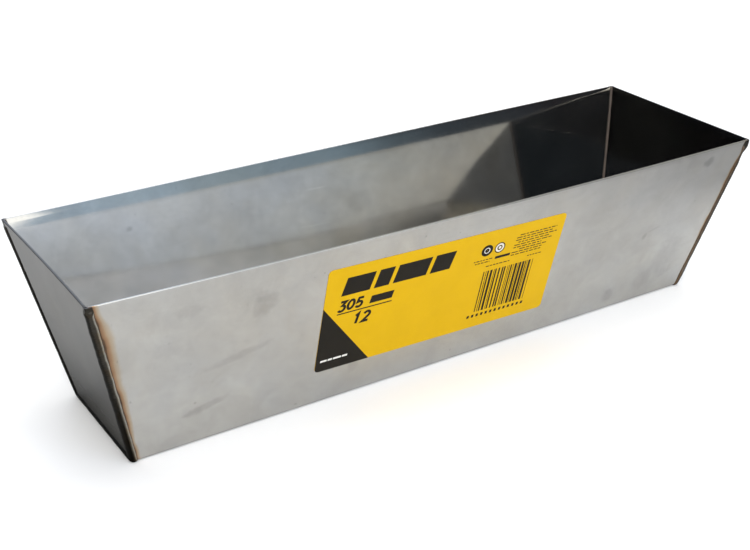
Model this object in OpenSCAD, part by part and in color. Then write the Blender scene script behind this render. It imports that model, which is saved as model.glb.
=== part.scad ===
// Drywall mud pan: one folded stainless trough, closed by two end plates whose
// edges are welded to it from the outside, with a label on the front wall.
//
// The origin is at the middle of the underside. X runs along the pan, the
// front wall faces -Y, and Z goes up from the bench that the pan stands on.

/* [Pan] */
// Length over the two end plates at the rim
rim_length = 341; // [325:1:380]
// Width over the two long walls at the rim
rim_width = 100; // [88:1:120]
// Length over the two end plates at the floor
floor_length = 305; // [270:1:315]
// Width between the long walls' outer faces, carried down to the bench
floor_width = 62; // [50:1:75]
// Height of the rim above the bench
height = 83; // [76:1:95]

/* [Sheet] */
// Thickness of the stainless sheet
sheet = 1; // [0.8:0.1:1.4]
// Outer radius of the two long folds
fold_radius = 2.5; // [2.2:0.1:4]

/* [Welds] */
// Radius of the round bead that runs along each outside corner
bead_radius = 2; // [1.8:0.1:2.2]
// Depth of that bead's axis inside both outer faces
bead_depth = 1.35; // [1.25:0.05:1.4]
// How far the dressed bead stands proud of the sheets
bead_proud = 0.7; // [0.4:0.1:0.7]
// Radius of the weld root that shows inside the pan
root_radius = 0.9; // [0.6:0.1:1.2]
// Opening between the sheets' edges that the weld fills
root_gap = 0.3; // [0.2:0.05:0.4]

/* [Label] */
// Length of the label along the pan
label_length = 125; // [80:1:180]
// Height of the label up the front wall
label_height = 55; // [30:1:58]
// Radius of the label's corners
label_corner = 2; // [1:0.5:6]
// Thickness of the vinyl
label_thickness = 0.15; // [0.1:0.05:0.3]
// Distance of the label's centre to the left of the pan's middle
label_offset = 5.8; // [0:0.1:30]
// Distance of the label's centre up the wall's face
label_rise = 44.8; // [35:0.1:48]
// Angle that the label is out of level by, its right end lower
label_skew = 1.1; // [0:0.1:3]

/* [Hidden] */
$fn = 96;

left = -1;
right = 1;
front = -1;
back = 1;

// Lean of the long walls and of the end plates, from upright
wall_lean = atan((rim_width - floor_width) / 2 / height);
end_lean = atan((rim_length - floor_length) / 2 / height);

// A fold turns the sheet by this angle, and its arc starts this far from the
// corner where the floor and the wall would meet if they were sharp
fold_turn = 90 - wall_lean;
fold_setback = fold_radius * tan(fold_turn / 2);
fold_y = floor_width / 2 - fold_setback;

// Allowance by which cutting shapes run past what they cut
over = 5;

stainless = [0.68, 0.67, 0.65];
weld_metal = [0.45, 0.41, 0.38];
label_yellow = [0.91, 0.74, 0.13];

// Half the outer width, or half the outer length, at height z, set in by d
function half_width(z, d = 0) = floor_width / 2 + z * tan(wall_lean) - d / cos(wall_lean);
function half_length(z, d = 0) = floor_length / 2 + z * tan(end_lean) - d / cos(end_lean);

// ---- Outlines that the pieces share ----

// Cross-section of the pan, filled, set in by d from its outer face and open at the top
module section(d, top) {
    wall_y = fold_y + (fold_radius - d) * cos(wall_lean);
    wall_z = fold_radius - (fold_radius - d) * sin(wall_lean);
    right_half = [
        [fold_y, d],
        [fold_y, fold_radius],
        [wall_y, wall_z],
        [half_width(top, d), top]
    ];
    left_half = [for (i = [3:-1:0]) [-right_half[i][0], right_half[i][1]]];
    polygon(concat(right_half, left_half));
    for (side = [front, back])
        translate([side * fold_y, fold_radius]) circle(r = fold_radius - d);
}

// The same cross-section as a bar along the whole pan
module section_bar(d, top = height) {
    rotate([90, 0, 90])
        linear_extrude(height = rim_length + 4 * over, center = true)
            section(d, top);
}

// All the space between the two end plates' outer faces, set in by d
module between_ends(d) {
    low = -over;
    high = height + over;
    rotate([90, 0, 0])
        linear_extrude(height = rim_width + 4 * over, center = true)
            polygon([
                [-half_length(low, d), low],
                [half_length(low, d), low],
                [half_length(high, d), high],
                [-half_length(high, d), high]
            ]);
}

// Everything on one side of the pan's middle, left or right
module end_half(end) {
    size = [rim_length, rim_width + 4 * over, height + 2 * over];
    translate([end * size[0] / 2, 0, height / 2]) cube(size, center = true);
}

// The hollow of the pan, run out past the rim
module cavity() {
    intersection() {
        section_bar(sheet, height + over);
        between_ends(sheet);
    }
}

// ---- Sheet parts ----

module trough() {
    color(stainless)
        intersection() {
            difference() {
                section_bar(0);
                section_bar(sheet, height + over);
            }
            between_ends(sheet + root_gap);
        }
}

module end_plate(end) {
    color(stainless)
        intersection() {
            section_bar(sheet + root_gap);
            difference() {
                between_ends(0);
                between_ends(sheet);
            }
            end_half(end);
        }
}

module left_end_plate() { end_plate(left); }
module right_end_plate() { end_plate(right); }

// ---- Welds ----

// Round rod up one corner of the pan, its axis d inside both outer faces
module corner_rod(end, side, d, r) {
    run_x = tan(end_lean);
    run_y = tan(wall_lean);
    tilt = atan(norm([run_x, run_y]));
    turn = atan2(side * run_y, end * run_x);
    translate([end * half_length(0, d), side * half_width(0, d), 0])
        rotate([0, tilt, turn])
            translate([0, 0, -over])
                cylinder(h = height / cos(tilt) + 2 * over, r = r);
}

// Round rod under one end of the floor, between the two corner rods
module floor_rod(end, d, r) {
    translate([end * half_length(d, d), 0, d])
        rotate([90, 0, 0])
            cylinder(h = 2 * half_width(d, d), r = r, center = true);
}

// The rods of one end: up the front corner, along the floor and up the back corner
module end_rods(end, d, r) {
    corner_rod(end, front, d, r);
    corner_rod(end, back, d, r);
    floor_rod(end, d, r);
}

// Outer limit of the welds: dressed to a small height, flush with the bench and the rim
module dressed_limit() {
    intersection() {
        section_bar(-bead_proud);
        between_ends(-bead_proud);
        translate([-rim_length / 2, -rim_width / 2, 0]) cube([rim_length, rim_width, height]);
    }
}

// All the weld metal of one end, in one piece
module end_seam(end) {
    difference() {
        intersection() {
            union() {
                difference() {
                    end_rods(end, bead_depth, bead_radius);
                    cavity();
                }
                end_rods(end, sheet, root_radius);
            }
            dressed_limit();
        }
        trough();
        end_plate(end);
    }
}

// Everything below the two planes that halve the folds, where the welds meet in mitres
module below_mitres() {
    peak = floor_width / 2 * tan((90 + wall_lean) / 2);
    rotate([90, 0, 90])
        linear_extrude(height = rim_length + 4 * over, center = true)
            polygon([[-floor_width / 2, 0], [floor_width / 2, 0], [0, peak]]);
}

// Everything on one side of the pan's middle, front or back
module wall_half(side) {
    size = [rim_length + 4 * over, rim_width, height + 2 * over];
    translate([0, side * size[1] / 2, height / 2]) cube(size, center = true);
}

module corner_weld(end, side) {
    color(weld_metal)
        difference() {
            intersection() {
                end_seam(end);
                wall_half(side);
            }
            below_mitres();
        }
}

module bottom_weld(end) {
    color(weld_metal)
        intersection() {
            end_seam(end);
            below_mitres();
        }
}

module weld_front_left() { corner_weld(left, front); }
module weld_bottom_left() { bottom_weld(left); }
module weld_back_left() { corner_weld(left, back); }
module weld_front_right() { corner_weld(right, front); }
module weld_bottom_right() { bottom_weld(right); }
module weld_back_right() { corner_weld(right, back); }

// ---- Label ----

// Rectangle with rounded corners, centred
module rounded_rectangle(size, r) {
    square([size[0] - 2 * r, size[1]], center = true);
    square([size[0], size[1] - 2 * r], center = true);
    for (x = [-1, 1], y = [-1, 1])
        translate([x * (size[0] / 2 - r), y * (size[1] / 2 - r)]) circle(r = r);
}

module label() {
    color(label_yellow)
        translate([0, -floor_width / 2, 0])
            rotate([90 + wall_lean, 0, 0])
                translate([-label_offset, label_rise, 0])
                    rotate([0, 0, -label_skew])
                        linear_extrude(height = label_thickness)
                            rounded_rectangle([label_length, label_height], label_corner);
}

trough();
left_end_plate();
right_end_plate();
weld_front_left();
weld_bottom_left();
weld_back_left();
weld_front_right();
weld_bottom_right();
weld_back_right();
label();
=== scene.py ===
"""Looks of a drywall mud pan: folded stainless trough, welded end plates, vinyl label.

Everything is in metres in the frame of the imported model: X along the pan, the
labelled front wall faces -Y, and Z goes up from the surface the pan stands on.
"""

import random
from math import asin, atan, atan2, ceil, cos, pi, radians, sin, sqrt, tan

import bpy
from mathutils import Matrix, Vector, noise


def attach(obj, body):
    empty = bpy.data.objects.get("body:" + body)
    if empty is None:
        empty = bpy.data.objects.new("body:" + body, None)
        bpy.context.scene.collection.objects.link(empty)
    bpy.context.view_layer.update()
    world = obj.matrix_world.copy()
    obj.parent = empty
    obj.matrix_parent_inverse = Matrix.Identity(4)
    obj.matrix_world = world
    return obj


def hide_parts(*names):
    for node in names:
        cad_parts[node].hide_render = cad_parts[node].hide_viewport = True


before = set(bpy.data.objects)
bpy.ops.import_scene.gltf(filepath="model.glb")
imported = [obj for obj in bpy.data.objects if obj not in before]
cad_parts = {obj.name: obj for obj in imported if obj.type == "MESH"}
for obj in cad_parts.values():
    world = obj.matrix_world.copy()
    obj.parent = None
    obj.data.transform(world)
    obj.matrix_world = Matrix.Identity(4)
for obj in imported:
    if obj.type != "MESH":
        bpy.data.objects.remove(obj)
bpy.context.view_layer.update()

MM = 0.001
LEFT, RIGHT = -1, 1

# How far the rims have sprung outwards at their middles, and by what power of the height
FRONT_BOW = 2.8 * MM
BACK_BOW = 0.45 * MM
LEFT_BOW = -0.5 * MM
BOW_POWER = 1.5
# How far the welding has pulled in the two corners of the left end, at the rim
FRONT_PINCH = 3.9 * MM
BACK_PINCH = 0.8 * MM
# How far the top of the back wall turns out of flat, and over what height
BACK_CREST = 0.4 * MM
CREST_HEIGHT = 22 * MM
# Slow waves of the sheet: their size, then their scales along and up, and noise seeds
WAVE = 0.10 * MM
WALL_WAVES, WALL_SEED = (14, 18), 3.1
PLATE_WAVES, PLATE_SEED = (22, 20), 7.7
# Rounding of a sheared edge, and its steps from a face to the edge
EDGE_ROUND = 0.22 * MM
EDGE_STEPS = 4
# Width of the last strip of a flat face, which keeps the rounding's shading off the rest
EDGE_HOLD = 0.08 * MM
ROOT_GAP = 0.3 * MM
# How strongly the heat of welding has coloured each face, and the right end's share of it
OUTER_SCORCH, INNER_SCORCH, PLATE_SCORCH = 1.0, 0.1, 0.1
RIGHT_SCORCH = 0.4
# The tint's strength at the floor and the heights over which it grows, then what it loses
# at the rim and the distances below it over which it does
FOOT_HEAT, FOOT_RISE = 0.45, (8 * MM, 52 * MM)
RIM_LOSS, RIM_FALL = 0.35, (16 * MM, 4 * MM)
# How much darker, and rougher, the sheared top edges are made, from 0 as bright as the face to 1
# black
TROUGH_RIM, LEFT_RIM, RIGHT_RIM = 0.25, 0.87, 0.97
# Coordinates closer than this count as the same
NEAR = 0.01 * MM


# ---- The pan's dimensions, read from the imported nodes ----


def node_points(name):
    return [v.co.copy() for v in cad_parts[name].data.vertices]


def slope_of_face(points, reach):
    """(reach at z = 0, reach gained per metre of height) of a leaning outer face."""
    low_z = min(p.z for p in points)
    top = max(points, key=reach)
    low = max((p for p in points if p.z < low_z + 2 * MM), key=reach)
    slope = (reach(top) - reach(low)) / (top.z - low.z)
    return reach(low) - slope * low.z, slope


trough_points = node_points("trough")
floor_half_width, wall_slope = slope_of_face(trough_points, lambda p: p.y)
floor_half_length, end_slope = slope_of_face(node_points("right_end_plate"), lambda p: p.x)
height = max(p.z for p in trough_points)
wall_lean = atan(wall_slope)
end_lean = atan(end_slope)
fold_turn = pi / 2 - wall_lean
fold_y = max(p.y for p in trough_points if p.z < NEAR)
fold_radius = (floor_half_width - fold_y) / tan(fold_turn / 2)
sheet = min(p.z for p in trough_points if p.z > 0.5 * MM and abs(p.y) < fold_y + NEAR)


def half_length(z, inset=0.0):
    """Half the outer length at height z, set in square to the end plate."""
    return floor_half_length + z * end_slope - inset / cos(end_lean)


def half_width(z, inset=0.0):
    """Half the outer width at height z, set in square to the long wall."""
    return floor_half_width + z * wall_slope - inset / cos(wall_lean)


# Distances along the cross-section, from the middle of the floor
FLAT_END = fold_y
FOLD_END = FLAT_END + fold_radius * fold_turn
tangent_z = fold_radius * (1 - sin(wall_lean))
RIM_END = FOLD_END + (height - sheet * sin(wall_lean) - tangent_z) / cos(wall_lean)
FOLD_MIDDLE = (FLAT_END + FOLD_END) / 2


def profile(s, depth=0.0):
    """(y, z, outward normal y, z) at distance s along the cross-section, depth into the sheet."""
    side = -1 if s < 0 else 1
    a = abs(s)
    if a <= FLAT_END:
        return s, depth, 0.0, -1.0
    turn = min((a - FLAT_END) / fold_radius, fold_turn)
    ny, nz = sin(turn), -cos(turn)
    y = fold_y + (fold_radius - depth) * ny
    z = fold_radius + (fold_radius - depth) * nz
    beyond = max(0.0, a - FOLD_END)
    y += beyond * sin(wall_lean)
    z += beyond * cos(wall_lean)
    return side * y, z, side * ny, nz


def bend(p):
    """Moves a point with the spring of the rims and the small waves of the sheet."""
    up = max(0.0, p.z / height)
    nx = max(-1.0, min(1.0, p.x / half_length(p.z)))
    ny = max(-1.0, min(1.0, p.y / half_width(p.z)))
    along = 1 - nx * nx
    across = 1 - ny * ny
    lift = up**BOW_POWER
    # The waves are whole from a quarter of the height up
    rise = min(1, 4 * up)
    at = (p.x * WALL_WAVES[0], WALL_SEED + 2 * ny, p.z * WALL_WAVES[1])
    wave_y = WAVE * noise.noise(Vector(at))
    at = (PLATE_SEED + 2 * nx, p.y * PLATE_WAVES[0], p.z * PLATE_WAVES[1])
    wave_x = WAVE * noise.noise(Vector(at))
    back, front = max(0, ny), max(0, -ny)
    dy = along * (lift * (BACK_BOW * back - FRONT_BOW * front) + rise * wave_y)
    dy += up * (1 - nx) / 2 * (FRONT_PINCH * front - BACK_PINCH * back)
    dy += back * BACK_CREST * (max(0.0, 1 - (height - p.z) / CREST_HEIGHT) ** 2 - up)
    dx = across * (-lift * LEFT_BOW * max(0, -nx) + rise * wave_x * abs(nx))
    return Vector((p.x + dx, p.y + dy, p.z))


# ---- Mesh helpers ----


def add_object(name, data):
    obj = bpy.data.objects.new(name, data)
    bpy.context.scene.collection.objects.link(obj)
    return obj


def add_mesh(name, points, faces, material, smooth_angle=35.0, **traits):
    """A new smooth-shaded mesh object, with sharp edges kept above an angle.

    A trait is a list with one number for each vertex, for the material to read.
    """
    mesh = bpy.data.meshes.new(name)
    mesh.from_pydata([tuple(p) for p in points], [], faces)
    mesh.materials.append(material)
    mesh.polygons.foreach_set("use_smooth", [True] * len(mesh.polygons))
    mesh.validate()
    mesh.set_sharp_from_angle(angle=radians(smooth_angle))
    for trait, values in traits.items():
        mesh.attributes.new(trait, "FLOAT", "POINT").data.foreach_set("value", values)
    return add_object(name, mesh)


def smooth(x, low, high):
    """0 below low, 1 above high, and an S-curve between them."""
    t = max(0.0, min(1.0, (x - low) / (high - low)))
    return t * t * (3 - 2 * t)


def loft(rings):
    """Quads between closed rings of points, each with the same count."""
    n = len(rings[0])
    faces = []
    for i in range(len(rings) - 1):
        for j in range(n):
            k = (j + 1) % n
            faces.append((i * n + j, i * n + k, (i + 1) * n + k, (i + 1) * n + j))
    return [p for ring in rings for p in ring], faces


def flipped(faces):
    return [tuple(reversed(f)) for f in faces]


def graded_fractions(length, fine=0.5 * MM, ratio=1.12, coarse=4 * MM):
    """Fractions from -1 to 1 that crowd towards both ends of a length."""
    stops, step = [0.0], fine
    while stops[-1] < length / 2:
        stops.append(stops[-1] + step)
        step = min(coarse, step * ratio)
    scale = (length / 2) / stops[-1]
    left = [-1 + 2 * (stop * scale) / length for stop in stops]
    return left + [-f for f in reversed(left[:-1])]


def edge_profile(top):
    """(distance, depth) pairs round a sheared edge, from the outer face to the inner."""
    outer = []
    for i in range(1, EDGE_STEPS + 1):
        a = pi / 2 * i / EDGE_STEPS
        outer.append((top - EDGE_ROUND + EDGE_ROUND * sin(a), EDGE_ROUND - EDGE_ROUND * cos(a)))
    return outer + [(u, sheet - d) for u, d in reversed(outer)]


# ---- Sheet parts ----


def is_edge(depth):
    """Whether a depth into the sheet lies on its sheared edge, between the two faces."""
    return 0.001 * MM < depth < sheet - 0.001 * MM


def spread(start, end, count):
    """Evenly spaced values from start to end, in this many steps."""
    return [start + (end - start) * i / count for i in range(count + 1)]


def closed_strip(rings, n, k, two_rims):
    """Points and faces of a strip of sheet, from rings round its section, capped at both ends.

    A ring has n points up the outer face, k over the edge, n down the inner face, and
    with two_rims k over the other edge.
    """
    points, faces = loft(rings)
    caps = [(i, i + 1, 2 * n + k - 2 - i, 2 * n + k - 1 - i) for i in range(n - 1)]
    caps.append(tuple(range(n - 1, n + k + 1)))
    if two_rims:
        caps.append((*range(2 * n + k - 1, 2 * n + 2 * k), 0))
    last = (len(rings) - 1) * len(rings[0])
    far_caps = [tuple(last + j for j in cap) for cap in caps]
    return points, faces + caps + flipped(far_caps)


# Rows of faces up a long wall, round a fold and across half the floor
WALL_ROWS, FOLD_ROWS, FLOOR_ROWS = 36, 10, 12
# Rows of faces up an end plate, between its lower corners and above them
PLATE_LOW_ROWS, PLATE_ROWS = 8, 40


def build_trough(material):
    wall = spread(FOLD_END, RIM_END - EDGE_ROUND, WALL_ROWS)
    fold = spread(FLAT_END, FOLD_END, FOLD_ROWS)
    flat = spread(0.0, FLAT_END, FLOOR_ROWS)
    half = flat[:-1] + fold[:-1] + wall
    stops = [-s for s in reversed(half[1:])] + half
    rim = edge_profile(RIM_END)
    loop = [(s, 0.0) for s in stops] + rim
    loop += [(s, sheet) for s in reversed(stops)]
    loop += [(-s, d) for s, d in reversed(rim)]
    inset = sheet + ROOT_GAP
    rings, seams, scorch, outer, edge = [], [], [], [], []
    for f in graded_fractions(2 * half_length(height)):
        ring = []
        for s, d in loop:
            y, z, _, _ = profile(s, d)
            x = f * half_length(z, inset)
            ring.append(bend(Vector((x, y, z))))
            seams.append((half_length(z) - abs(x)) * cos(end_lean) / MM)
            heat = OUTER_SCORCH if d < sheet / 2 else INNER_SCORCH
            heat *= FOOT_HEAT + (1 - FOOT_HEAT) * smooth(z, *FOOT_RISE)
            heat *= 1 - RIM_LOSS * smooth(z, height - RIM_FALL[0], height - RIM_FALL[1])
            scorch.append(heat * (1.0 if x < 0 else RIGHT_SCORCH))
            outer.append(1.0 if d < sheet / 2 else 0.0)
            edge.append(TROUGH_RIM if is_edge(d) else 0.0)
        rings.append(ring)
    points, faces = closed_strip(rings, len(stops), len(rim), True)
    traits = {"seam": seams, "scorch": scorch, "outer": outer, "edge": edge}
    return add_mesh("trough_sheet", points, flipped(faces), material, **traits)


def plate_half_width(z, inset):
    """Half the width of an end plate at height z, where its lower corners follow the folds."""
    r = fold_radius - inset
    if z >= fold_radius - r * sin(wall_lean):
        return half_width(z, inset)
    drop = min(r, fold_radius - z)
    return fold_y + sqrt(max(0.0, r * r - drop * drop))


def build_end_plate(end, name, material):
    inset = sheet + ROOT_GAP
    low = inset / cos(end_lean)
    corner = fold_radius / cos(end_lean)
    top = (height - sheet * sin(end_lean)) / cos(end_lean)
    face = spread(low, corner, PLATE_LOW_ROWS)[:-1]
    face += spread(corner, top - EDGE_ROUND - EDGE_HOLD, PLATE_ROWS)
    face.append(top - EDGE_ROUND)
    rim = edge_profile(top)
    loop = [(u, 0.0) for u in face] + rim + [(u, sheet) for u in reversed(face)]
    rim_tone = LEFT_RIM if end == LEFT else RIGHT_RIM
    rings, seams, scorch, edge = [], [], [], []
    for f in graded_fractions(2 * half_width(height), coarse=2.5 * MM):
        ring = []
        for u, d in loop:
            z = u * cos(end_lean) + d * sin(end_lean)
            x = floor_half_length + u * sin(end_lean) - d * cos(end_lean)
            y = f * plate_half_width(z, inset)
            ring.append(bend(Vector((end * x, y, z))))
            side = (half_width(z) - abs(y)) * cos(wall_lean)
            seams.append(min(side, z) / MM)
            scorch.append(PLATE_SCORCH if d < sheet / 2 else INNER_SCORCH)
            edge.append(rim_tone if is_edge(d) else 0.0)
        rings.append(ring)
    points, faces = closed_strip(rings, len(face), len(rim), False)
    if end == RIGHT:
        faces = flipped(faces)
    return add_mesh(name, points, faces, material, seam=seams, scorch=scorch, edge=edge)


# ---- Welds ----

BEAD_RADIUS = 2.0 * MM
BEAD_DEPTH = 1.35 * MM
ROOT_RADIUS = 0.75 * MM
# How much the root's radius varies, and over what length
ROOT_VARIES, ROOT_CELL = 0.4, 5 * MM
ROOT_SIDES = 8
RIPPLE = 1.15 * MM
RIPPLE_DEPTH = 0.05 * MM
BEAD_STEP = 0.25 * MM
BEAD_SIDES = 32
# Where the root inside the pan reads its colour, past the bead's own from toe to toe
ROOT_ACROSS = 1.2
# How far the sides that are hidden between the sheets start from the bead's toes
TOE_TUCK = 0.2 * MM
# Lumps along a bead: the length of each, its size in millimetres, and a noise seed
LUMPS = ((7 * MM, 0.17, 0.0), (2.3 * MM, 0.08, 5.0))
# How much deeper a bead lies at the rim
RIM_SINK = 0.3 * MM
# How proud a bead may stand at the rim, and how much more below it, in millimetres
RIM_PROUD, PROUD_GAIN = 0.08, 0.9
# What is ground off under and behind the left end
LEFT_GRIND = 0.45 * MM
# The blob near the top of the front right bead and the pinch below it, in millimetres
BLOB, PINCH, BLOB_PROUD = 0.3, 0.3, 0.5


def corner_point(s, end):
    """Point on the corner line where a long wall, fold or the floor meets an end plate."""
    y, z, _, _ = profile(s)
    return Vector((end * half_length(z), y, z))


def corner_frame(s, end):
    """(corner point, run direction, inwards along the wall, inwards along the end plate)."""
    step = 0.05 * MM
    run = (corner_point(s + step, end) - corner_point(s - step, end)).normalized()
    _, _, ny, nz = profile(s)
    wall_out = Vector((0, ny, nz))
    plate_out = Vector((end * cos(end_lean), 0, -sin(end_lean)))
    in_wall = run.cross(wall_out).normalized()
    in_plate = run.cross(plate_out).normalized()
    if in_wall.x * end > 0:
        in_wall.negate()
    if in_plate.dot(wall_out) > 0:
        in_plate.negate()
    return corner_point(s, end), run, in_wall, in_plate


def bead_size(s, end):
    """(radius, axis depth, height allowed above the sheets) of the bead at s."""
    from_rim = RIM_END - abs(s)
    seed = 31.0 * end
    lumps = 0.0
    for cell, size, layer in LUMPS:
        lumps += size * noise.noise(Vector((s / cell, seed, layer)))
    radius = BEAD_RADIUS + lumps * MM
    depth = BEAD_DEPTH + RIM_SINK * (1 - smooth(from_rim, 0.5 * MM, 3.5 * MM))
    proud = (RIM_PROUD + PROUD_GAIN * smooth(from_rim, 1.5 * MM, 4.0 * MM)) * MM
    if end == LEFT:
        ground = smooth(s, -FOLD_END, -FLAT_END)
        proud -= LEFT_GRIND * ground * smooth(proud, RIM_PROUD * MM, 0.5 * MM)
    if end == RIGHT and s < 0:
        blob = smooth(from_rim, 0.0, 1.0 * MM) * (1 - smooth(from_rim, 3.5 * MM, 7 * MM))
        pinch = smooth(from_rim, 5 * MM, 8 * MM) * (1 - smooth(from_rim, 10 * MM, 14 * MM))
        radius += (BLOB * blob - PINCH * pinch) * MM
        proud += BLOB_PROUD * blob * MM
    return radius, depth, proud


def bead_section(s, end):
    """(inwards along the wall, inwards along the plate) of the bead's outline at s, in order."""
    radius, depth, proud = bead_size(s, end)
    toe = asin(max(-1.0, min(1.0, -depth / radius)))
    start, stop = toe, -pi * 1.5 - toe
    out = []
    for i in range(BEAD_SIDES + 1):
        f = i / BEAD_SIDES
        a = start + (stop - start) * f
        window = sin(pi * f)
        phase = abs(s) / RIPPLE + 0.5 * (2 * f - 1) ** 2
        phase += 0.35 * noise.noise(Vector((s / (4 * MM), 9.0 * end, 1.0)))
        valley = (1 - abs(sin(pi * phase))) ** 2
        r = radius - RIPPLE_DEPTH * valley * window
        p = max(depth + r * cos(a), -proud)
        q = max(depth + r * sin(a), -proud)
        out.append((p, q))
    toe_p, toe_q = out[0][0], out[-1][1]
    mid = sheet / 2
    uneven = noise.noise(Vector((s / ROOT_CELL, 3.0 * end, 8.0)))
    root = ROOT_RADIUS * (1 + ROOT_VARIES * uneven)
    out += [(mid, toe_q - TOE_TUCK), (mid, sheet + root)]
    for i in range(ROOT_SIDES + 1):
        a = pi / 2 * (1 - i / ROOT_SIDES)
        out.append((sheet + root * cos(a), sheet + root * sin(a)))
    out += [(sheet + root, mid), (toe_p - TOE_TUCK, mid)]
    return out


def bead_ring(s, end, shear):
    """The bead's outline in space. Near a rim, shear slides it along the run into the rim's plane."""
    origin, run, in_wall, in_plate = corner_frame(s, end)
    ring = []
    for p, q in bead_section(s, end):
        point = origin + in_wall * p + in_plate * q
        if shear > 0:
            point += run * (shear * (origin.z - point.z) / run.z)
        point.z = min(max(point.z, 0.0), height)
        ring.append(bend(point))
    return ring


def build_bead(end, s_from, s_to, name, material):
    """One run of weld between two distances along the cross-section, capped at both ends."""
    count = max(8, round(abs(s_to - s_from) / BEAD_STEP))
    stops = spread(s_from, s_to, count)
    shears = [smooth(corner_point(s, end).z, height - 4 * MM, height) for s in stops]
    rings = [bead_ring(s, end, shear) for s, shear in zip(stops, shears)]
    points, faces = loft(rings)
    n = len(rings[0])
    last = (len(rings) - 1) * n
    faces.append(tuple(reversed(range(n))))
    faces.append(tuple(range(last, last + n)))
    if end == LEFT:
        faces = flipped(faces)
    places = spread(0.0, 1.0, BEAD_SIDES)
    across = []
    for s in stops:
        # Near the rim the bead takes the dark middle of its colour ramp all across, without the
        # painted ridge highlight
        near_rim = 1 - smooth(RIM_END - abs(s), 1.0 * MM, 4.5 * MM)
        across += [f + (0.5 - f) * near_rim for f in places]
        across += [ROOT_ACROSS] * (n - len(places))
    return add_mesh(name, points, faces, material, smooth_angle=50.0, across=across)


# ---- Label ----

LABEL_THICKNESS = 0.15 * MM
INK_THICKNESS = 0.02 * MM
# In millimetres, like everything laid out on the label
LABEL_CORNER = 2.0
# Rows of faces round a corner and between them, and columns of faces
CORNER_ROWS, MIDDLE_ROWS, LABEL_COLUMNS = 8, 16, 40


def measure_label():
    """(centre, tilt, length, height) of the label on the wall's face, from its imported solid."""
    flat = [(p.x, p.z / cos(wall_lean)) for p in node_points("label")]
    ax = (min(a for a, _ in flat) + max(a for a, _ in flat)) / 2
    ay = (min(b for _, b in flat) + max(b for _, b in flat)) / 2
    xx = sum((a - ax) ** 2 for a, _ in flat)
    yy = sum((b - ay) ** 2 for _, b in flat)
    xy = sum((a - ax) * (b - ay) for a, b in flat)
    tilt = 0.5 * atan2(2 * xy, xx - yy)
    c, s = cos(tilt), sin(tilt)
    us = [(a - ax) * c + (b - ay) * s for a, b in flat]
    vs = [-(a - ax) * s + (b - ay) * c for a, b in flat]
    return (ax, ay), tilt, max(us) - min(us), max(vs) - min(vs)


label_centre, label_tilt, label_length, label_height = measure_label()
HALF_U = label_length / 2 / MM
HALF_V = label_height / 2 / MM


def label_point(u, v, lift):
    """Point over the front wall, for millimetres right and up from the label's centre."""
    c, s = cos(label_tilt), sin(label_tilt)
    along = label_centre[0] + (u * c - v * s) * MM
    up = label_centre[1] + (u * s + v * c) * MM
    z = up * cos(wall_lean)
    on_wall = bend(Vector((along, -half_width(z), z)))
    return on_wall + Vector((0, -cos(wall_lean), -sin(wall_lean))) * lift


def label_half_u(v):
    """Half the label's length at v, less where its corners are rounded."""
    past = abs(v) - (HALF_V - LABEL_CORNER)
    if past <= 0:
        return HALF_U
    return HALF_U - LABEL_CORNER + sqrt(max(0.0, LABEL_CORNER**2 - past * past))


class Sheetlet:
    """Collects thin closed strips that lie on the label, and makes one mesh of them."""

    def __init__(self, low, high):
        self.low, self.high = low, high
        self.points, self.faces = [], []

    def strip(self, left, right, closed=False):
        """A thin prism between two lines of (u, v) points with the same count."""
        base = len(self.points)
        n = len(left)
        for line in (left, right):
            for lift in (self.high, self.low):
                self.points += [label_point(u, v, lift) for u, v in line]
        lt, lb, rt, rb = (base + i * n for i in range(4))
        pairs = [(i, (i + 1) % n) for i in range(n if closed else n - 1)]
        for i, j in pairs:
            self.faces.append((lt + i, lt + j, rt + j, rt + i))
            self.faces.append((lb + i, rb + i, rb + j, lb + j))
            self.faces.append((lt + i, lb + i, lb + j, lt + j))
            self.faces.append((rt + i, rt + j, rb + j, rb + i))
        if not closed:
            self.faces.append((lt, rt, rb, lb))
            self.faces.append((lt + n - 1, lb + n - 1, rb + n - 1, rt + n - 1))

    def bar(self, u0, u1, v0, v1, slant=0.0):
        """An upright or slanted rectangle, in pieces short enough to follow the wall."""
        n = max(1, ceil((u1 - u0) / 8))
        us = spread(u0, u1, n)
        top = [(u + slant * v1, v1) for u in us]
        bottom = [(u + slant * v0, v0) for u in us]
        self.strip(top, bottom)

    def ring(self, u, v, outer, inner, count=40):
        angles = [-2 * pi * i / count for i in range(count)]
        out = [(u + outer * cos(a), v + outer * sin(a)) for a in angles]
        hole = [(u + inner * cos(a), v + inner * sin(a)) for a in angles]
        self.strip(out, hole, closed=True)

    def stroke(self, path, width):
        """A line of constant width along (u, v) points, with mitred joints."""
        left, right = [], []
        for i, (u, v) in enumerate(path):
            before = path[max(0, i - 1)]
            after = path[min(len(path) - 1, i + 1)]
            d1 = Vector((u - before[0], v - before[1]))
            d2 = Vector((after[0] - u, after[1] - v))
            d1 = d1.normalized() if d1.length > 0 else d2.normalized()
            d2 = d2.normalized() if d2.length > 0 else d1
            n1, n2 = Vector((-d1.y, d1.x)), Vector((-d2.y, d2.x))
            m = n1 + n2
            m = m / max(0.5, m.length_squared) * width
            left.append((u + m.x, v + m.y))
            right.append((u - m.x, v - m.y))
        self.strip(left, right)

    def build(self, name, material):
        return add_mesh(name, self.points, self.faces, material)


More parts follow.
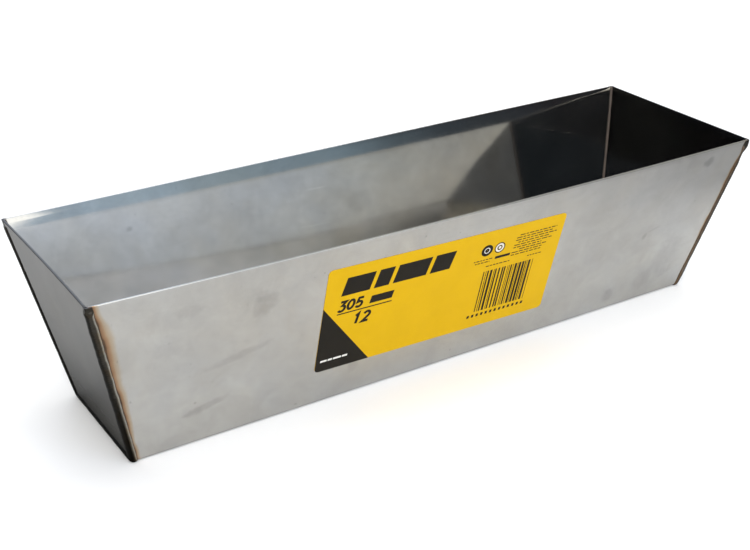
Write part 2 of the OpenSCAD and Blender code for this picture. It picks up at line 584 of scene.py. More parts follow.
def build_label(material):
    rows = spread(-HALF_V, -HALF_V + LABEL_CORNER, CORNER_ROWS)[:-1]
    rows += spread(-HALF_V + LABEL_CORNER, HALF_V - LABEL_CORNER, MIDDLE_ROWS)[:-1]
    rows += spread(HALF_V - LABEL_CORNER, HALF_V, CORNER_ROWS)
    columns = spread(-1.0, 1.0, LABEL_COLUMNS)
    points, faces = [], []
    for lift in (LABEL_THICKNESS, 0.0):
        for v in rows:
            points += [label_point(f * label_half_u(v), v, lift) for f in columns]
    nu, nv = len(columns), len(rows)
    under = nu * nv
    for j in range(nv - 1):
        for i in range(nu - 1):
            a = j * nu + i
            faces.append((a, a + 1, a + nu + 1, a + nu))
            faces.append((under + a, under + a + nu, under + a + nu + 1, under + a + 1))
    border = list(range(nu)) + [j * nu + nu - 1 for j in range(1, nv)]
    border += [(nv - 1) * nu + i for i in range(nu - 2, -1, -1)]
    border += [j * nu for j in range(nv - 2, 0, -1)]
    for a, b in zip(border, border[1:] + border[:1]):
        faces.append((a, under + a, under + b, b))
    return add_mesh("label_sticker", points, faces, material)


def arc(cu, cv, ru, rv, start, stop, count):
    """Points on an ellipse between two angles in degrees."""
    turns = [radians(a) for a in spread(start, stop, count)]
    return [(cu + ru * cos(a), cv + rv * sin(a)) for a in turns]


# Strokes of plain numerals in a box 4 wide and 7 high
NUMERALS = {
    "3": [[(0.2, 6.4), (3.6, 6.4), (1.9, 4.0)] + arc(1.9, 2.1, 1.9, 1.9, 80, -150, 14)],
    "0": [arc(2.0, 3.5, 1.8, 2.9, 90, 452, 30)],
    "5": [[(3.7, 6.4), (0.9, 6.4), (0.6, 3.7)] + arc(1.9, 2.3, 1.8, 1.75, 120, -150, 14)],
    "1": [[(0.6, 5.3), (2.1, 6.5), (2.1, 0.3)]],
    "2": [arc(1.95, 4.7, 1.7, 1.7, 160, -30, 12) + [(0.5, 0.6), (3.9, 0.6)]],
}
# How far apart numerals stand, in the units of that box
NUMERAL_PITCH = 5.3


def write_numerals(ink, text, u, v, size, weight):
    for figure in text:
        for path in NUMERALS[figure]:
            placed = [(u + (x + SLANT * y) * size, v + y * size) for x, y in path]
            ink.stroke(placed, weight * size)
        u += NUMERAL_PITCH * size


# Layout of the print in millimetres, right (u) and up (v) from the label's centre
SLANT, SMALL_SLANT, HEADLINE_SLANT = 0.2, 0.1, 0.22
DARK_CORNER = (-35.0, 7.6)
HEADLINE_U, HEADLINE_V, HEADLINE_GAP = -57.5, (12.3, 21.6), 2.0
HEADLINE_WIDTHS = (14.0, 7.5, 17.0, 10.5)
# Numerals as (text, u, v, size, weight)
SIZES = (("305", -55.4, 3.9, 0.80, 1.6), ("12", -47.0, -5.2, 0.86, 1.55))
# Bars as (left, right, bottom, top, slant)
BARS = (
    (-40.6, -29.2, 4.4, 8.4, SLANT),
    (-55.4, -28, 2.3, 2.9, 0),
    (24.2, 32.6, 10.9, 12.3, SMALL_SLANT),
)
# Round marks as (u, outer radius, inner radius), all at one height
MARKS_V = 17.0
DARK_RINGS = ((19.7, 3.1, 0.15), (26.7, 2.9, 2.4), (26.7, 1.35, 0.85))
PALE_RINGS = ((19.7, 1.6, 1.2), (26.7, 2.3, 1.45), (26.7, 0.75, 0.15))
# Small print: a block of lines, and single lines as (left, right, v)
LINE_HEIGHT = 0.5
BLOCK_LINES, BLOCK_V, BLOCK_PITCH = 9, 21.0, 1.35
BLOCK_U = (33.5, 57.5)
SINGLE_LINES = ((12.4, 22.6, 11.6), (13.5, 21.5, 10.2), (20.5, 34.0, 7.4), (44.0, 52.0, 7.4))
# Stripes, and the row of dashes under them
STRIPES_U, STRIPES_V = (20.8, 50.0), (-18.5, 4.8)
STRIPE_WIDTHS, STRIPE_GAPS = (0.3, 0.3, 0.55, 0.8, 1.2), (0.45, 0.6, 0.85, 1.1)
DASHES, DASH_U, DASH_V, DASH_PITCH = 13, (19.4, 20.7), (-21.6, -20.0), 2.6
# Pale blocks in the dark corner
PALE_U, PALE_V, PALE_GAP = -58.0, (-22.4, -21.4), 0.5
PALE_WIDTHS = (3.2, 2.2, 4.0, 2.6)


def greek_line(ink, dice, start, stop, v, words, gap):
    """A line of small print, as short bars of random length."""
    while start < stop:
        word = dice.uniform(*words)
        ink.bar(start, min(start + word, stop), v, v + LINE_HEIGHT, SMALL_SLANT)
        start += word + gap


def build_print(dark, pale):
    """The label's print: plain blocks, numerals, discs and stripes that spell nothing."""
    ink = Sheetlet(LABEL_THICKNESS, LABEL_THICKNESS + INK_THICKNESS)
    right_u, top_v = DARK_CORNER
    rows = spread(-HALF_V, -HALF_V + LABEL_CORNER, 6)[:-1]
    rows += spread(-HALF_V + LABEL_CORNER, top_v, 12)
    slope = (right_u + HALF_U) / (top_v + HALF_V)
    left = [(-label_half_u(v), v) for v in rows]
    right = [(max(-label_half_u(v), right_u - slope * (v + HALF_V)), v) for v in rows]
    ink.strip(left, right)
    u = HEADLINE_U
    for width in HEADLINE_WIDTHS:
        ink.bar(u, u + width, *HEADLINE_V, HEADLINE_SLANT)
        u += width + HEADLINE_GAP
    for numerals in SIZES:
        write_numerals(ink, *numerals)
    for bar in BARS:
        ink.bar(*bar)
    for u, outer, inner in DARK_RINGS:
        ink.ring(u, MARKS_V, outer, inner)
    dice = random.Random(7)
    for i in range(BLOCK_LINES):
        start = BLOCK_U[0] + dice.uniform(0.0, 5.0) * (i % 3 == 0)
        stop = BLOCK_U[1] - dice.uniform(0.0, 8.0)
        greek_line(ink, dice, start, stop, BLOCK_V - BLOCK_PITCH * i, (1.2, 3.6), 0.6)
    for start, stop, v in SINGLE_LINES:
        greek_line(ink, dice, start, stop, v, (0.8, 2.0), 0.5)
    u, stop = STRIPES_U
    while u < stop:
        width = dice.choice(STRIPE_WIDTHS)
        ink.bar(u, min(u + width, stop), *STRIPES_V)
        u += width + dice.choice(STRIPE_GAPS)
    for i in range(DASHES):
        ink.bar(DASH_U[0] + DASH_PITCH * i, DASH_U[1] + DASH_PITCH * i, *DASH_V, SMALL_SLANT)
    pale_ink = Sheetlet(LABEL_THICKNESS + INK_THICKNESS, LABEL_THICKNESS + 2 * INK_THICKNESS)
    u = PALE_U
    for width in PALE_WIDTHS:
        pale_ink.bar(u, u + width, *PALE_V, SMALL_SLANT)
        u += width + PALE_GAP
    for u, outer, inner in PALE_RINGS:
        pale_ink.ring(u, MARKS_V, outer, inner)
    return ink.build("label_print_dark", dark), pale_ink.build("label_print_pale", pale)


# ---- Materials ----


class Nodes:
    """Short forms for building a node tree."""

    def __init__(self, tree):
        self.tree = tree
        tree.nodes.clear()

    def add(self, kind, **values):
        node = self.tree.nodes.new("ShaderNode" + kind)
        for key, value in values.items():
            setattr(node, key, value)
        return node

    def link(self, source, target):
        self.tree.links.new(source, target)

    def feed(self, socket, value):
        if isinstance(value, bpy.types.NodeSocket):
            self.link(value, socket)
        else:
            socket.default_value = value

    def fill(self, node, **values):
        """Feeds a node's inputs by name, with _ for a space."""
        for name, value in values.items():
            self.feed(node.inputs[name.replace("_", " ")], value)

    def math(self, operation, a, b=0.0, clamp=False):
        node = self.add("Math", operation=operation, use_clamp=clamp)
        self.feed(node.inputs[0], a)
        self.feed(node.inputs[1], b)
        return node.outputs[0]

    def product(self, first, *others):
        """All the values multiplied, from left to right."""
        for value in others:
            first = self.math("MULTIPLY", first, value)
        return first

    def total(self, first, *others):
        """All the values added, from left to right."""
        for value in others:
            first = self.math("ADD", first, value)
        return first

    def less(self, a, b):
        return self.math("SUBTRACT", a, b)

    def coordinates(self, factors=(1.0, 1.0, 1.0)):
        """Object coordinates in metres, stretched by a factor along each axis."""
        node = self.add("VectorMath", operation="MULTIPLY")
        self.link(self.add("TexCoord").outputs["Object"], node.inputs[0])
        node.inputs[1].default_value = factors
        return node.outputs[0]

    def axes(self, vector):
        """The x, y and z of a vector."""
        node = self.add("SeparateXYZ")
        self.link(vector, node.inputs[0])
        return node.outputs

    def attribute(self, name):
        return self.add("Attribute", attribute_name=name).outputs["Fac"]

    def remap(self, value, low, high, to_low=0.0, to_high=1.0, smooth=False):
        kind = "SMOOTHSTEP" if smooth else "LINEAR"
        node = self.add("MapRange", interpolation_type=kind)
        self.fill(node, Value=value, From_Min=low, From_Max=high, To_Min=to_low, To_Max=to_high)
        return node.outputs[0]

    def noise(self, vector, scale, detail=3.0, roughness=0.5, distortion=0.0):
        node = self.add("TexNoise")
        self.fill(node, Vector=vector, Scale=scale, Detail=detail)
        self.fill(node, Roughness=roughness, Distortion=distortion)
        return node.outputs["Fac"]

    def mix(self, factor, a, b, blend="MIX"):
        node = self.add("Mix", data_type="RGBA", blend_type=blend, clamp_factor=True)
        self.feed(node.inputs[0], factor)
        self.feed(node.inputs[6], a)
        self.feed(node.inputs[7], b)
        return node.outputs[2]

    def ramp(self, value, stops):
        node = self.add("ValToRGB")
        elements = node.color_ramp.elements
        while len(elements) < len(stops):
            elements.new(0.5)
        for element, (position, *colour) in zip(elements, stops):
            element.position = position
            element.color = (*colour, 1.0)
        self.feed(node.inputs[0], value)
        return node.outputs[0]


def new_material(name):
    material = bpy.data.materials.new(name)
    material.use_nodes = True
    n = Nodes(material.node_tree)
    shader = n.add("BsdfPrincipled")
    out = n.add("OutputMaterial")
    n.link(shader.outputs[0], out.inputs["Surface"])
    return material, n, shader


def set_colour(n, shader, colour, tone):
    """Gives the shader a colour times a tone."""
    node = n.add("VectorMath", operation="SCALE")
    n.feed(node.inputs[0], colour)
    n.fill(node, Scale=tone)
    n.fill(shader, Base_Color=node.outputs[0])


def set_bump(n, shader, relief, strength, distance):
    node = n.add("Bump")
    n.fill(node, Strength=strength, Distance=distance, Height=relief)
    n.fill(shader, Normal=node.outputs[0])


# The values that most of a noise lies between, and a narrower part of them
SPAN = (0.3, 0.7)
CORE = (0.35, 0.65)

# Oxide colours by distance from the weld, as a fraction of the tint's reach
HEAT_STOPS = [
    (0, 0.1, 0.07, 0.05),
    (0.1, 0.115, 0.075, 0.048),
    (0.15, 0.25, 0.15, 0.09),
    (0.22, 0.31, 0.185, 0.11),
    (0.34, 0.38, 0.25, 0.155),
    (0.46, 0.43, 0.33, 0.23),
    (0.6, 0.46, 0.385, 0.3),
    (0.74, 0.48, 0.43, 0.36),
    (0.88, 0.49, 0.465, 0.41),
    (1, 0.5, 0.49, 0.46),
]
# Where the tint starts and how far it reaches from the corner line, in millimetres
TINT_START, TINT_WIDTH = 2.3, 5.2

# Handling marks on the outside of the front wall, and one patch of painted shade, in millimetres
# and degrees: (x, z, half length, half height, tilt, how dark)
FRONT_MARKS = [
    (-96, 63.5, 4.6, 6, -15, 0.17),
    (-104, 63, 8, 9, 0, 0.05),
    (-129, 70, 5, 4, 0, 0.09),
    (-139, 67, 8, 6, 0, 0.07),
    (-106, 40.5, 13, 1.9, 12, 0.12),
    (-120, 18.5, 9, 1.8, 12, 0.15),
    (-125, 17.2, 3.4, 2.2, 0, 0.1),
    (-125, 22, 0.7, 0.6, 0, 0.25),
    (-137, 55, 6, 5, 0, 0.05),
    (-132, 5, 8, 3, 0, 0.08),
    (-49, 15.5, 2.5, 3.2, 0, 0.12),
    (145, 76, 3.2, 2.4, 20, 0.26),
    (134, 78, 6, 2.5, 0, 0.05),
    (115, 40.5, 1.6, 1.2, 50, 0.16),
    (120, 43.2, 4, 0.6, 12, 0.1),
    # A broad patch of painted shade low by the right end
    (137, 23, 9, 11, 0, 0.1),
    (101, 9, 3.6, 3.4, -30, 0.16),
    (123, 12, 7, 4.5, 30, 0.1),
]
# The same inside the back wall, where the last four are bright scratches
BACK_MARKS = [
    (-32, 69, 7, 5, 0, 0.07),
    (2, 55, 6.5, 5.5, 0, 0.1),
    (-14, 60, 6, 5, 0, 0.04),
    (-116, 67, 1.3, 1.1, 0, 0.18),
    (-62, 62, 9, 7, 0, 0.04),
    (-21.5, 65.6, 5, 0.22, -2, -0.16),
    (-24.5, 48.5, 9, 0.22, -2, -0.14),
    (-92, 55, 5, 0.18, 8, -0.1),
    (-118, 48, 4, 0.18, -6, -0.1),
]


def soft_marks(n, coords, marks, mask):
    """The strength of each soft-edged mark on a wall, where the mask is 1."""
    flat = n.axes(coords)
    ragged = n.remap(n.noise(coords, 260.0, 3.0, 0.6), 0.2, 0.8, -0.8, 0.8)
    spots = []
    for x, z, half_x, half_z, tilt, strength in marks:
        c, s = cos(radians(tilt)), sin(radians(tilt))
        dx = n.less(flat[0], x * MM)
        dz = n.less(flat[2], z * MM)
        half_x, half_z = half_x * MM, half_z * MM
        u = n.total(n.product(dx, c / half_x), n.product(dz, s / half_x))
        v = n.less(n.product(dz, c / half_z), n.product(dx, s / half_z))
        reach = n.total(n.product(u, u), n.product(v, v), ragged)
        spot = n.remap(reach, 0.0, 1.9, strength, 0.0, smooth=True)
        spots.append(n.product(spot, mask))
    return spots


# The sheet's noises: scale per metre, detail, roughness, distortion
CLOUD = (30.0, 3.0, 0.5, 0.6)
MOTTLE = (75.0, 3.0, 0.6, 1.0)
FLECK = (240.0, 3.0, 0.65, 0.6)
GRAIN, GRAIN_STRETCH = (160.0, 2.0, 0.6), (1.0, 14.0, 14.0)
SCRATCH, SCRATCH_STRETCH = (12.0, 2.0, 0.7, 1.2), (3.0, 60.0, 60.0)
# Its darkest and lightest tones over each noise
CLOUD_TONES = (0.925, 1.06)
MOTTLE_TONES = (0.95, 1.045)
FLECK_TONES = (0.975, 1.02)
GRAIN_TONES = (0.992, 1.007)
STEEL, WARM_STEEL = (0.500, 0.496, 0.480, 1), (0.508, 0.496, 0.466, 1)


def heat_tint(n, coords, base):
    """(the colour with its oxide tint near the welds, the tint's strength)"""
    wobble = n.remap(n.noise(coords, 130.0, 1.0), *SPAN, -0.35, 0.35)
    patches = n.remap(n.noise(coords, 60.0, 1.0), *CORE, 0.88, 1.12)
    scorch = n.attribute("scorch")
    near = n.product(n.total(n.attribute("seam"), wobble), patches)
    reach = n.product(scorch, TINT_WIDTH)
    fraction = n.math("DIVIDE", n.less(near, TINT_START), reach, clamp=True)
    tint = n.ramp(fraction, HEAT_STOPS)
    strength = n.remap(fraction, 1.0, 0.7)
    strength = n.product(strength, n.remap(scorch, 0.0, 0.35))
    return n.mix(strength, base, tint), strength


def wall_marks(n, coords):
    """The handling marks outside the front wall, with a patch of painted shade, and inside the back
    one.
    """
    y = n.axes(coords)[1]
    outer = n.attribute("outer")
    inner = n.less(1.0, outer)
    front = n.product(n.remap(y, -0.02, -0.03), outer)
    back = n.product(n.remap(y, 0.02, 0.03), inner)
    return soft_marks(n, coords, FRONT_MARKS, front) + soft_marks(n, coords, BACK_MARKS, back)


def steel_material(name, marks_too, darken=1.0):
    """Rolled stainless sheet: cloudy, faintly grained, scratched, and tinted by heat at the welds."""
    material, n, shader = new_material(name)
    coords = n.coordinates()
    cloud = n.noise(coords, *CLOUD)
    mottle = n.noise(coords, *MOTTLE)
    fleck = n.noise(coords, *FLECK)
    grain = n.noise(n.coordinates(GRAIN_STRETCH), *GRAIN)
    tone = n.product(
        n.remap(cloud, *SPAN, *CLOUD_TONES),
        n.remap(mottle, *SPAN, *MOTTLE_TONES),
        n.remap(fleck, *SPAN, *FLECK_TONES),
        n.remap(grain, *SPAN, *GRAIN_TONES),
    )
    warmth = n.remap(n.noise(coords, 41.0, 2.0, 0.5, 0.6), *CORE)
    colour, strength = heat_tint(n, coords, n.mix(warmth, STEEL, WARM_STEEL))
    for spot in wall_marks(n, coords) if marks_too else []:
        tone = n.product(tone, n.less(1.0, spot))
    # Hair scratches run where a stretched noise crosses its middle
    scratch_field = n.noise(n.coordinates(SCRATCH_STRETCH), *SCRATCH)
    from_middle = n.math("ABSOLUTE", n.less(scratch_field, 0.5))
    scratches = n.remap(from_middle, 0.0, 0.004, 1.0, 0.0)
    specks = n.noise(coords, 420.0, 1.0)
    sheared = n.attribute("edge")
    tone = n.product(
        tone,
        n.remap(scratches, 0.0, 1.0, 1.0, 1.05),
        n.remap(specks, 0.19, 0.24, 0.80, 1.0),
        n.less(1.0, sheared),
        darken,
    )
    set_colour(n, shader, colour, tone)
    roughness = n.total(
        n.remap(cloud, *SPAN, 0.05, 0.08),
        n.remap(n.noise(coords, 2600.0, 1.0), *CORE, -0.01, 0.02),
        n.product(strength, 0.06),
        n.product(scratches, 0.08),
        n.product(sheared, sheared, 0.2),
    )
    # A nearly black edge doesn't shine at a low angle either
    edge_tint = n.remap(sheared, 0.88, 0.97, 1.0, 0.0)
    n.fill(shader, Roughness=roughness, Metallic=1.0, Specular_Tint=edge_tint)
    set_bump(n, shader, n.total(n.product(grain, 0.4), n.product(mottle, 0.6)), 0.1, 0.00002)
    return material


# Colour across a weld bead, from its toe on the long wall to its toe on the end plate:
# a heat-tinted toe, an undercut line painted dark as shade, a painted highlight on the ridge,
# and a brown flank painted dark as a reflection of dark surroundings, darkest towards the plate
BEAD_STOPS = [
    (0, 0.22, 0.12, 0.07),
    (0.03, 0.12, 0.07, 0.045),
    (0.05, 0.06, 0.05, 0.045),
    (0.08, 0.26, 0.25, 0.22),
    (0.115, 0.36, 0.35, 0.31),
    (0.155, 0.24, 0.23, 0.2),
    (0.22, 0.06, 0.054, 0.045),
    (0.42, 0.045, 0.042, 0.036),
    (0.6, 0.04, 0.038, 0.033),
    (0.8, 0.035, 0.033, 0.03),
    (1, 0.02, 0.018, 0.016),
]
ROOT_COLOUR = (0.11, 0.088, 0.075, 1)
BROWN_PATCH = (1.0, 0.86, 0.70, 1)


def weld_material(name, ridge):
    """Fused bead, smooth, with a painted highlight on its ridge no brighter than asked, a flank
    painted dark as reflection, and faint brown patches.
    """
    material, n, shader = new_material(name)
    coords = n.coordinates()
    across = n.attribute("across")
    shift = n.remap(n.noise(coords, 120.0, 1.0), *SPAN, -0.02, 0.02)
    # The ridge colour caps every stop, so it sets how bright the painted ridge highlight can be
    stops = [(f, *map(min, colour, ridge)) for f, *colour in BEAD_STOPS]
    colour = n.ramp(n.total(across, shift), stops)
    patches = n.remap(n.noise(coords, 150.0, 2.0, 0.5, 0.3), 0.45, 0.65)
    colour = n.mix(patches, colour, n.mix(1.0, colour, BROWN_PATCH, "MULTIPLY"))
    root = n.remap(across, 1.05, 1.15)
    colour = n.mix(root, colour, ROOT_COLOUR)
    set_colour(n, shader, colour, n.remap(n.noise(coords, 700.0, 3.0, 0.6), *CORE, 0.85, 1.08))
    rough = n.remap(n.noise(coords, 400.0, 2.0), *SPAN, 0.14, 0.26)
    n.fill(shader, Roughness=n.total(rough, n.product(root, 0.35)))
    n.fill(shader, Metallic=n.remap(root, 0.0, 1.0, 1.0, 0.5))
    set_bump(n, shader, n.noise(coords, 1100.0, 2.0), 0.2, 0.00003)
    return material


def vinyl_material(name, colour, mottle, rough_low, rough_high):
    """Printed vinyl: even colour with faint print mottle, satin skin and a fine orange peel."""
    material, n, shader = new_material(name)
    coords = n.coordinates()
    tone = n.remap(n.noise(coords, 70.0, 3.0, 0.6), *SPAN, 1 - mottle, 1 + mottle)
    fine = n.remap(n.noise(coords, 2200.0, 2.0, 0.6), *SPAN, 0.985, 1.015)
    set_colour(n, shader, colour, n.product(tone, fine))
    rough = n.remap(n.noise(coords, 130.0, 3.0, 0.6), *SPAN, rough_low, rough_high)
    n.fill(shader, Roughness=rough, Specular_IOR_Level=0.10)
    set_bump(n, shader, n.noise(coords, 900.0, 2.0), 0.15, 0.00003)
    return material


# ---- Stage ----

FLOOR_RADIUS, FLOOR_SIDES = 2.5, 96
# How far the floor lies under the pan, and the height over it of the card with the painted shadow
FLOOR_DROP, SHADOW_CARD_LIFT = 0.02 * MM, 0.3 * MM


def build_floor():
    material, n, shader = new_material("stage_paper")
    tone = n.remap(n.noise(n.coordinates(), 3.0, 2.0), *SPAN, 0.985, 1.0)
    set_colour(n, shader, (0.90, 0.90, 0.90), tone)
    n.fill(shader, Roughness=0.8, Specular_IOR_Level=0.2)
    turns = [2 * pi * i / FLOOR_SIDES for i in range(FLOOR_SIDES)]
    ring = [(FLOOR_RADIUS * cos(a), FLOOR_RADIUS * sin(a), 0.0) for a in turns]
    floor = add_mesh("stage_floor", ring, [tuple(range(FLOOR_SIDES))], material)
    floor.location.z = -FLOOR_DROP


# The card's cover past the left end, a painted shadow of the pan, what it gains close to that
# end as painted contact shadow and within what reach, and where it fades out
LEFT_COVER, CONTACT_SHADOW, CONTACT_SHADOW_REACH = 0.72, 0.25, 9 * MM
LEFT_FADE = (0.12, 0.20)
# Its cover in front as painted shade, close to the wall and from this y on, and the painted contact
# shade it gains at the wall's foot
FRONT_COVER, FRONT_FAR_Y = (0.10, 0.29), -0.11
FOOT_COVER, FOOT_FAR_Y = 0.13, -0.052
# What it gains towards the right as painted shade, between these x and these y
RIGHT_COVER, RIGHT_X, RIGHT_Y = 0.34, (0.086, 0.22), (-0.042, -0.085)


def build_shadow_card():
    """A grey card on the floor round the pan, seen only in reflections, that paints the floor's shade
    there: the pan's shadow and contact shade, darkest by the left end.
    """
    material, n, shader = new_material("stage_painted_shadow")
    x, y, _ = n.axes(n.coordinates())
    past_foot = n.less(-floor_half_length, x)
    contact = n.math("EXPONENT", n.product(past_foot, -1 / CONTACT_SHADOW_REACH))
    near = n.math("ADD", LEFT_COVER, n.product(contact, CONTACT_SHADOW))
    fade = n.remap(past_foot, *LEFT_FADE, 1.0, 0.0, smooth=True)
    behind = n.remap(y, -0.09, -0.05, smooth=True)
    past_end = n.remap(past_foot, -0.004, 0.0)
    left = n.product(n.product(near, fade), n.product(behind, past_end))
    in_front = n.total(
        n.remap(y, -floor_half_width, FRONT_FAR_Y, *FRONT_COVER),
        n.remap(y, -floor_half_width, FOOT_FAR_Y, FOOT_COVER, 0.0),
    )
    to_right = n.product(n.remap(x, *RIGHT_X, 0.0, RIGHT_COVER), n.remap(y, *RIGHT_Y))
    front_side = n.remap(y, -0.02, -floor_half_width)
    front = n.product(n.total(in_front, to_right), front_side)
    n.fill(shader, Alpha=n.math("MAXIMUM", left, front))
    n.fill(shader, Base_Color=(0.02, 0.02, 0.018, 1.0), Roughness=0.9)
    reach = 0.6
    corners = [(a * reach, b * reach, SHADOW_CARD_LIFT) for a, b in ((-1, -1), (1, -1), (1, 1), (-1, 1))]
    flag = add_mesh("stage_painted_shadow", corners, [(0, 1, 2, 3)], material)
    flag.visible_camera = False
    flag.visible_diffuse = False
    flag.visible_shadow = False


# The room, by compass angle from +X in degrees, anticlockwise, near the horizon
ROOM_LOW = [
    (-180, 0.004, 0.004, 0.004),
    (-134, 0.004, 0.004, 0.005),
    (-126, 0.026, 0.028, 0.034),
    (-110, 0.1, 0.12, 0.14),
    (-95, 0.4, 0.52, 0.62),
    (-73, 0.5, 0.65, 0.82),
    (-69, 0.52, 0.67, 0.82),
    (-66, 0.42, 0.53, 0.62),
    (-61, 0.28, 0.38, 0.46),
    (-57, 0.08, 0.1, 0.12),
    (-52, 0.03, 0.03, 0.035),
    (-20, 0.03, 0.03, 0.03),
    (20, 0.3, 0.3, 0.28),
    (48, 1, 0.97, 0.9),
    (54, 1.1, 1.07, 1),
    (57, 1.06, 1.06, 1.02),
    (60, 1.14, 1.19, 1.2),
    (63.5, 1.2, 1.26, 1.34),
    (66, 1.26, 1.36, 1.49),
    (69, 1.34, 1.47, 1.7),
    (80, 1.3, 1.4, 1.6),
    (110, 0.2, 0.2, 0.2),
    (130, 0.05, 0.06, 0.08),
    (180, 0.009, 0.009, 0.009),
]
# The same room some 30 degrees up
ROOM_HIGH = [
    (-180, 0.012, 0.012, 0.012),
    (-142, 0.006, 0.006, 0.006),
    (-134, 3, 2.9, 2.6),
    (-112, 3, 2.8, 2.55),
    (-103, 0.6, 0.62, 0.65),
    (-85, 2.2, 2.4, 2.7),
    (-61.7, 2.92, 3.12, 3.62),
    (-57, 2.72, 2.9, 3.34),
    (-52, 2.52, 2.64, 2.85),
    (-48.8, 2.42, 2.52, 2.6),
    (-47.3, 1.72, 1.7, 1.68),
    (-45.8, 1.2, 1.22, 1.28),
    (-44.6, 1.5, 1.52, 1.54),
    (-43, 1.9, 1.9, 1.9),
    (-38, 0.7, 0.7, 0.7),
    (-10, 0.65, 0.65, 0.65),
    (20, 0.7, 0.69, 0.67),
    (46, 0.85, 0.86, 0.85),
    (53.4, 0.93, 0.95, 0.95),
    (55.6, 1.19, 1.27, 1.31),
    (58.5, 1.35, 1.48, 1.67),
    (60.7, 1.46, 1.62, 1.9),
    (63.5, 1.6, 1.75, 2),
    (66.6, 1.76, 1.95, 2.3),
    (80, 1.8, 2, 2.4),
    (95, 1.5, 1.6, 1.75),
    (115, 0.48, 0.5, 0.54),
    (128, 0.06, 0.08, 0.1),
    (140, 0.04, 0.05, 0.07),
    (180, 0.012, 0.012, 0.012),
]
CEILING = (0.95, 0.95, 0.94, 1.0)
# Elevations between which the low ring gives way to the high one, and that to the ceiling
RISE = (20.0, 27.0)
CEILING_RISE = (45.0, 62.0)
# A white window low down to the front: its light, the elevations over which it ends, and its
# right edge in degrees and its right limit and left edge in radians
PANE = (2.10, 2.10, 2.08, 1.0)
PANE_TOP = (14.0, 17.0)
PANE_EDGE, PANE_LIMIT, PANE_FAR_EDGE = (-74.0, -74.7), (-1.279, -1.288), (-1.70, -1.60)
# How many degrees the right edge moves for each of elevation, and the elevation it turns about
PANE_SLANT, PANE_HINGE = 0.8, 4.0
# The big window's lower right edge: how it slants, over which degrees it darkens and by how
# much, and the compass angles in radians over which it starts
SILL_SLANT, SILL_BAND, SILL_SHADE = 0.442, (22.8, 21.6), 0.65
SILL_SIDE = (-0.93, -0.83)


def build_world():
    world = bpy.data.worlds.new("studio")
    bpy.context.scene.world = world
    world.use_nodes = True
    n = Nodes(world.node_tree)
    x, y, z = n.axes(n.add("TexCoord").outputs["Generated"])
    angle = n.math("ARCTAN2", y, x)
    degrees = n.math("DEGREES", angle)
    elevation = n.math("DEGREES", n.math("ARCSINE", z))
    around = n.remap(angle, -pi, pi)
    low = n.ramp(around, [((a + 180) / 360, *colour) for a, *colour in ROOM_LOW])
    high = n.ramp(around, [((a + 180) / 360, *colour) for a, *colour in ROOM_HIGH])
    slant = n.product(n.less(elevation, PANE_HINGE), PANE_SLANT)
    pane = n.product(
        n.remap(n.less(degrees, slant), *PANE_EDGE),
        n.remap(angle, *PANE_FAR_EDGE),
        n.remap(angle, *PANE_LIMIT),
        n.remap(elevation, *PANE_TOP, 1.0, 0.0),
    )
    low = n.mix(pane, low, PANE)
    sill = n.total(elevation, n.product(degrees, SILL_SLANT))
    shade = n.product(n.remap(sill, *SILL_BAND, 0.0, SILL_SHADE), n.remap(angle, *SILL_SIDE))
    high = n.mix(shade, high, (0.0, 0.0, 0.0, 1.0))
    walls = n.mix(n.remap(elevation, *RISE, smooth=True), low, high)
    surroundings = n.mix(n.remap(elevation, *CEILING_RISE, smooth=True), walls, CEILING)
    seen = n.add("LightPath").outputs["Is Camera Ray"]
    colour = n.mix(seen, surroundings, (1.0, 1.0, 1.0, 1.0))
    background = n.add("Background")
    n.link(colour, background.inputs[0])
    out = n.add("OutputWorld")
    n.link(background.outputs[0], out.inputs[0])


# Softboxes: name, place, the point it is aimed at, size and watts
SOFTBOXES = (
    ("key_softbox", (-0.7, -1.1, 1.3), (0, 0, 0.03), (0.9, 0.7), 14.0),
    ("top_softbox", (0.2, 0.2, 1.6), (0, 0, 0.0), (1.6, 1.0), 10.5),
)


def add_softbox(name, location, target, size, power):
    data = bpy.data.lights.new(name, "AREA")
    data.shape = "RECTANGLE"
    data.size, data.size_y = size
    data.energy = power
    obj = add_object(name, data)
    obj.location = location
    obj.rotation_euler = (Vector(target) - obj.location).to_track_quat("-Z", "Y").to_euler()
    obj.visible_camera = False


# Camera: angles in degrees, distance and target in metres, lens and sensor in millimetres
CAMERA_AZIMUTH, CAMERA_ELEVATION, CAMERA_ROLL = -32.822, 26.344, 0.375
CAMERA_DISTANCE = 0.59459
CAMERA_TARGET = Vector((-0.01548, 0.0, 0.03663))
CAMERA_LENS, SENSOR_WIDTH = 61.423, 36.0


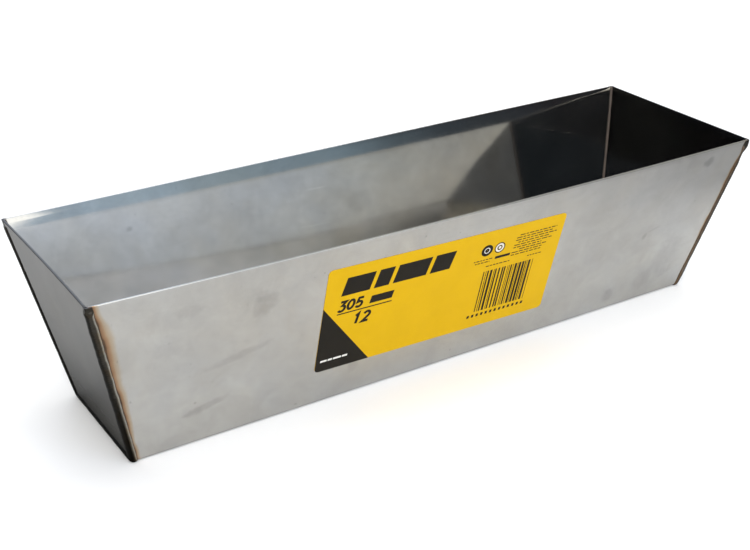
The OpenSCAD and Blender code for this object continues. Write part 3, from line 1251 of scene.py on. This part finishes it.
def build_camera():
    data = bpy.data.cameras.new("camera")
    data.lens = CAMERA_LENS
    data.sensor_width = SENSOR_WIDTH
    data.clip_start = 0.01
    obj = add_object("camera", data)
    a, e = radians(CAMERA_AZIMUTH), radians(CAMERA_ELEVATION)
    back = Vector((sin(a) * cos(e), -cos(a) * cos(e), sin(e)))
    right = Vector((0, 0, 1)).cross(back).normalized()
    up = back.cross(right)
    r = radians(CAMERA_ROLL)
    axis_x = right * cos(r) + up * sin(r)
    axis_y = up * cos(r) - right * sin(r)
    turn = Matrix((axis_x, axis_y, back)).transposed().to_4x4()
    obj.matrix_world = Matrix.Translation(CAMERA_TARGET + back * CAMERA_DISTANCE) @ turn
    bpy.context.scene.camera = obj


# ---- Assembly ----

RUNS = {
    "front": (-RIM_END, -FOLD_MIDDLE),
    "bottom": (-FOLD_MIDDLE, FOLD_MIDDLE),
    "back": (FOLD_MIDDLE, RIM_END),
}


def place(piece, node):
    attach(piece, "root")
    if node:
        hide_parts(node)


sheet_metal = steel_material("stainless_trough", True)
plate_metal = steel_material("stainless_end", False, 0.97)
# Copies of one bead material by how bright their painted ridge highlight is: full at the front left,
# dimmed to brown at the front right, and painted dark all over as shade on the other beads
highlit_weld = weld_material("weld_highlit", (1.0, 1.0, 1.0))
brown_metal = weld_material("weld_brown", (0.17, 0.13, 0.10))
shaded_weld = weld_material("weld_shaded", (0.06, 0.06, 0.06))
bead_metals = {(LEFT, "front"): highlit_weld, (RIGHT, "front"): brown_metal}
yellow = vinyl_material("vinyl_yellow", (0.63, 0.378, 0.001), 0.03, 0.30, 0.42)
charcoal = vinyl_material("ink_charcoal", (0.012, 0.010, 0.007), 0.12, 0.32, 0.45)
off_white = vinyl_material("ink_pale", (0.72, 0.71, 0.67), 0.04, 0.35, 0.48)

place(build_trough(sheet_metal), "trough")
place(build_end_plate(LEFT, "left_end_sheet", plate_metal), "left_end_plate")
place(build_end_plate(RIGHT, "right_end_sheet", plate_metal), "right_end_plate")
for end, side_name in ((LEFT, "left"), (RIGHT, "right")):
    for run_name, (s_from, s_to) in RUNS.items():
        metal = bead_metals.get((end, run_name), shaded_weld)
        bead = build_bead(end, s_from, s_to, f"bead_{run_name}_{side_name}", metal)
        place(bead, f"weld_{run_name}_{side_name}")
place(build_label(yellow), "label")
for piece in build_print(charcoal, off_white):
    place(piece, None)

build_floor()
build_shadow_card()
build_world()
build_camera()
for softbox in SOFTBOXES:
    add_softbox(*softbox)
bpy.context.scene.view_settings.view_transform = "Standard"
